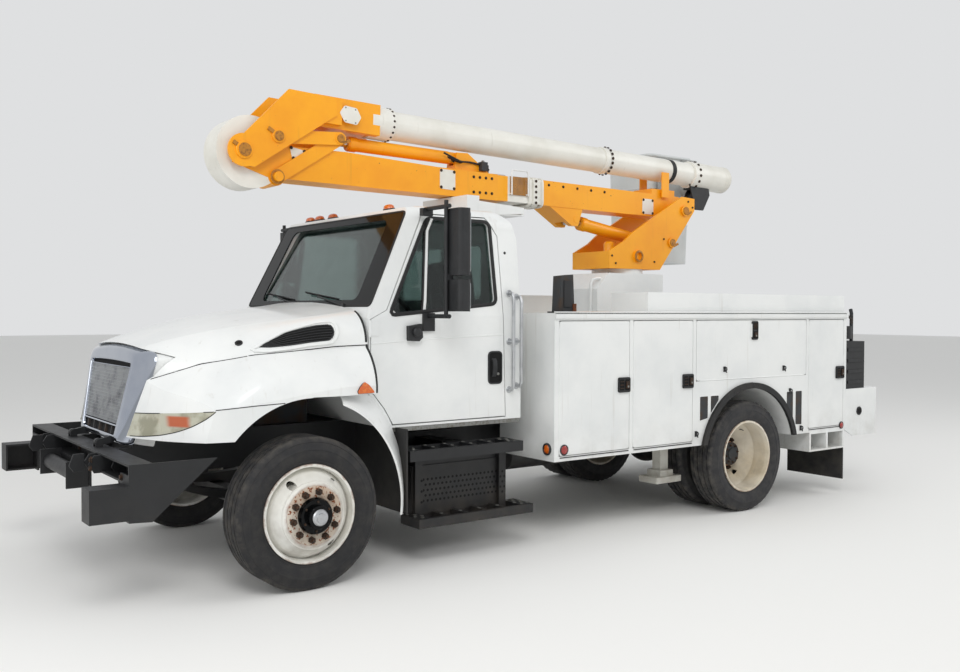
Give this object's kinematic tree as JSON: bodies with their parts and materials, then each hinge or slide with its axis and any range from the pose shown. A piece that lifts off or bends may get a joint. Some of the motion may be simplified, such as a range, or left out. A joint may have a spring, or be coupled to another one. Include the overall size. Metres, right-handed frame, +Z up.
{
  "type": "bucket truck",
  "caption": "Conventional-cab service truck with side compartments, outriggers and a turntable-mounted articulated boom that carries an insulated work bucket",
  "frame": {"origin": "on the ground, under the middle of the overall length and width", "axes": "+X forward, +Y to the driver's left, +Z up"},
  "size_m": [7.28, 2.7, 3.2199],
  "materials": {
    "body_paint": "gloss white paint",
    "aerial_paint": "faded yellow-orange paint",
    "chassis_black": "satin black paint",
    "grey_paint": "light grey paint",
    "rim_paint": "worn white wheel paint",
    "engine_iron": "cast grey iron",
    "tyre": "black tyre rubber",
    "rubber": "black moulded rubber",
    "glass": "tinted clear glass",
    "lamp": "yellowed lamp lens",
    "chrome": "bright chrome",
    "interior": "grey moulded plastic",
    "seat_cloth": "dark woven cloth",
    "mirror_black": "black moulded plastic",
    "white_fibreglass": "white gelcoat on fibreglass",
    "grey_fibreglass": "light grey gelcoat on fibreglass",
    "rod_chrome": "plated rod"
  },
  "bodies": {
    "chassis": {"frame_rails": "chassis_black", "front_axle": "chassis_black", "rear_axle": "chassis_black", "engine_block": "engine_iron", "exhaust_and_tanks": "chassis_black", "front_bumper": "chassis_black", "cab_shell": "body_paint", "cab_glass": "glass", "dashboard": "interior", "cab_seats": "seat_cloth", "side_steps": "chassis_black", "service_body": "body_paint", "rubber_guards": "rubber", "pedestal": "body_paint", "splash_panels": "body_paint", "tail_shelf": "body_paint", "tail_machine": "chassis_black"},
    "hood_body": {"hood": "body_paint", "fenders": "body_paint", "grille": "chrome", "headlamps": "lamp"},
    "turret_body": {"turret": "aerial_paint"},
    "lower_boom_body": {"lower_boom": "aerial_paint", "boom_fibreglass": "white_fibreglass"},
    "upper_boom_body": {"upper_boom_head": "aerial_paint", "upper_boom_tube": "white_fibreglass"},
    "link_a_body": {"elbow_link_a": "aerial_paint"},
    "link_b_body": {"elbow_link_b": "aerial_paint"},
    "lower_barrel_body": {"lower_cylinder": "aerial_paint"},
    "lower_rod_body": {"lower_rod": "rod_chrome"},
    "upper_barrel_body": {"upper_cylinder": "aerial_paint"},
    "upper_rod_body": {"upper_rod": "rod_chrome"},
    "bucket_body": {"bucket": "grey_fibreglass", "bucket_bracket": "grey_paint"},
    "cab_door_body_left": {"cab_door_left": "body_paint", "door_glass_left": "glass", "mirror_left": "mirror_black"},
    "knuckle_body_left": {"knuckle_left": "chassis_black"},
    "front_wheel_body_left": {"front_wheel_left": "rim_paint", "front_tyre_left": "tyre"},
    "rear_wheel_body_left": {"rear_wheels_left": "rim_paint", "rear_tyres_left": "tyre"},
    "outrigger_body_left": {"outrigger_left": "body_paint"},
    "front_door_body_left": {"front_compartment_door_left": "body_paint"},
    "middle_door_body_left": {"middle_compartment_door_left": "body_paint"},
    "upper_door_body_left": {"upper_compartment_door_left": "body_paint"},
    "rear_door_body_left": {"rear_compartment_door_left": "body_paint"},
    "cab_door_body_right": {"cab_door_right": "body_paint", "door_glass_right": "glass", "mirror_right": "mirror_black"},
    "knuckle_body_right": {"knuckle_right": "chassis_black"},
    "front_wheel_body_right": {"front_wheel_right": "rim_paint", "front_tyre_right": "tyre"},
    "rear_wheel_body_right": {"rear_wheels_right": "rim_paint", "rear_tyres_right": "tyre"},
    "outrigger_body_right": {"outrigger_right": "body_paint"},
    "front_door_body_right": {"front_compartment_door_right": "body_paint"},
    "middle_door_body_right": {"middle_compartment_door_right": "body_paint"},
    "upper_door_body_right": {"upper_compartment_door_right": "body_paint"},
    "rear_door_body_right": {"rear_compartment_door_right": "body_paint"}
  },
  "joints": [
    {"name": "hood_tilt", "type": "hinge", "parent": "chassis", "child": "hood_body", "pos_m": [3.365, 0, 0.872], "axis": [0, 1, 0], "range_deg": [0, 60]},
    {"name": "cab_door_left_swing", "type": "hinge", "parent": "chassis", "child": "cab_door_body_left", "pos_m": [1.875, 1.0063, 1.4], "axis": [0, 0, -1], "range_deg": [0, 70]},
    {"name": "steer_left", "type": "hinge", "parent": "chassis", "child": "knuckle_body_left", "pos_m": [2.38, 0.87, 0.462], "axis": [0, 0, 1], "range_deg": [-32, 32]},
    {"name": "front_wheel_left_spin", "type": "hinge", "parent": "knuckle_body_left", "child": "front_wheel_body_left", "pos_m": [2.38, 1.061, 0.462], "axis": [0, 1, 0], "continuous": true},
    {"name": "rear_wheels_left_spin", "type": "hinge", "parent": "chassis", "child": "rear_wheel_body_left", "pos_m": [-1.66, 1.053, 0.462], "axis": [0, 1, 0], "continuous": true},
    {"name": "outrigger_left_slide", "type": "slide", "parent": "chassis", "child": "outrigger_body_left", "axis": [0, 0, -1], "range_m": [0, 0.24]},
    {"name": "cab_door_right_swing", "type": "hinge", "parent": "chassis", "child": "cab_door_body_right", "pos_m": [1.875, -1.0063, 1.4], "axis": [0, 0, 1], "range_deg": [0, 70]},
    {"name": "steer_right", "type": "hinge", "parent": "chassis", "child": "knuckle_body_right", "pos_m": [2.38, -0.87, 0.462], "axis": [0, 0, 1], "range_deg": [-32, 32]},
    {"name": "front_wheel_right_spin", "type": "hinge", "parent": "knuckle_body_right", "child": "front_wheel_body_right", "pos_m": [2.38, -1.061, 0.462], "axis": [0, 1, 0], "continuous": true},
    {"name": "rear_wheels_right_spin", "type": "hinge", "parent": "chassis", "child": "rear_wheel_body_right", "pos_m": [-1.66, -1.053, 0.462], "axis": [0, 1, 0], "continuous": true},
    {"name": "outrigger_right_slide", "type": "slide", "parent": "chassis", "child": "outrigger_body_right", "axis": [0, 0, -1], "range_m": [0, 0.24]},
    {"name": "front_door_left_swing", "type": "hinge", "parent": "chassis", "child": "front_door_body_left", "pos_m": [0.443, 1.194, 1.124], "axis": [0, 0, -1], "range_deg": [0, 90]},
    {"name": "middle_door_left_swing", "type": "hinge", "parent": "chassis", "child": "middle_door_body_left", "pos_m": [-0.291, 1.194, 1.124], "axis": [0, 0, -1], "range_deg": [0, 90]},
    {"name": "upper_door_left_drop", "type": "hinge", "parent": "chassis", "child": "upper_door_body_left", "pos_m": [-1.703, 1.194, 1.123], "axis": [-1, 0, 0], "range_deg": [0, 95]},
    {"name": "rear_door_left_swing", "type": "hinge", "parent": "chassis", "child": "rear_door_body_left", "pos_m": [-2.459, 1.194, 1.124], "axis": [0, 0, -1], "range_deg": [0, 90]},
    {"name": "front_door_right_swing", "type": "hinge", "parent": "chassis", "child": "front_door_body_right", "pos_m": [0.443, -1.194, 1.124], "axis": [0, 0, 1], "range_deg": [0, 90]},
    {"name": "middle_door_right_swing", "type": "hinge", "parent": "chassis", "child": "middle_door_body_right", "pos_m": [-0.291, -1.194, 1.124], "axis": [0, 0, 1], "range_deg": [0, 90]},
    {"name": "upper_door_right_drop", "type": "hinge", "parent": "chassis", "child": "upper_door_body_right", "pos_m": [-1.703, -1.194, 1.123], "axis": [1, 0, 0], "range_deg": [0, 95]},
    {"name": "rear_door_right_swing", "type": "hinge", "parent": "chassis", "child": "rear_door_body_right", "pos_m": [-2.459, -1.194, 1.124], "axis": [0, 0, 1], "range_deg": [0, 90]},
    {"name": "turntable", "type": "hinge", "parent": "chassis", "child": "turret_body", "pos_m": [-1.27, 0, 2.05], "axis": [0, 0, 1], "continuous": true},
    {"name": "lower_boom_raise", "type": "hinge", "parent": "turret_body", "child": "lower_boom_body", "pos_m": [-1.89, 0, 2.602], "axis": [0, -1, 0], "range_deg": [0, 80]},
    {"name": "upper_boom_unfold", "type": "hinge", "parent": "lower_boom_body", "child": "upper_boom_body", "pos_m": [2.371, 0, 2.756], "axis": [0, 1, 0], "range_deg": [0, 150]},
    {"name": "bucket_level", "type": "hinge", "parent": "upper_boom_body", "child": "bucket_body", "pos_m": [-2.55, 0, 2.9], "axis": [0, -1, 0], "range_deg": [0, 75]},
    {"name": "link_a_swing", "type": "hinge", "parent": "lower_boom_body", "child": "link_a_body", "pos_m": [2.11, 0, 2.6], "axis": [0, 1, 0], "range_deg": [0, 77.89]},
    {"name": "link_b_swing", "type": "hinge", "parent": "upper_boom_body", "child": "link_b_body", "pos_m": [2.121, 0, 2.874], "axis": [0, -1, 0], "range_deg": [0, 108.17]},
    {"name": "upper_barrel_tilt", "type": "hinge", "parent": "lower_boom_body", "child": "upper_barrel_body", "pos_m": [0.49, 0, 2.886], "axis": [0, -1, 0], "range_deg": [0, 7.13]},
    {"name": "upper_rod_slide", "type": "slide", "parent": "upper_barrel_body", "child": "upper_rod_body", "axis": [0.9998, 0, 0.021], "range_m": [0, 0.69765]},
    {"name": "lower_barrel_tilt", "type": "hinge", "parent": "turret_body", "child": "lower_barrel_body", "pos_m": [-1.72, 0, 2.302], "axis": [0, -1, 0], "range_deg": [0, 74.81]},
    {"name": "lower_rod_slide", "type": "slide", "parent": "lower_barrel_body", "child": "lower_rod_body", "axis": [0.9879, 0, 0.155], "range_m": [0, 0.42848]}
  ],
  "couplings": [
    {"joint": "steer_right", "follows": "steer_left", "ratio": 1},
    {"joint": "upper_boom_unfold", "follows": "lower_boom_raise", "ratio": 1.875},
    {"joint": "bucket_level", "follows": "lower_boom_raise", "ratio": 0.875},
    {"joint": "link_a_swing", "follows": "lower_boom_raise", "ratio": 0.96744},
    {"joint": "link_b_swing", "follows": "lower_boom_raise", "ratio": 1.3458},
    {"joint": "upper_barrel_tilt", "follows": "lower_boom_raise", "ratio": 0.08284},
    {"joint": "lower_barrel_tilt", "follows": "lower_boom_raise", "ratio": 0.92886},
    {"joint": "upper_rod_slide", "follows": "lower_boom_raise", "m_per_rad": 0.49751},
    {"joint": "lower_rod_slide", "follows": "lower_boom_raise", "m_per_rad": 0.30473}
  ]
}
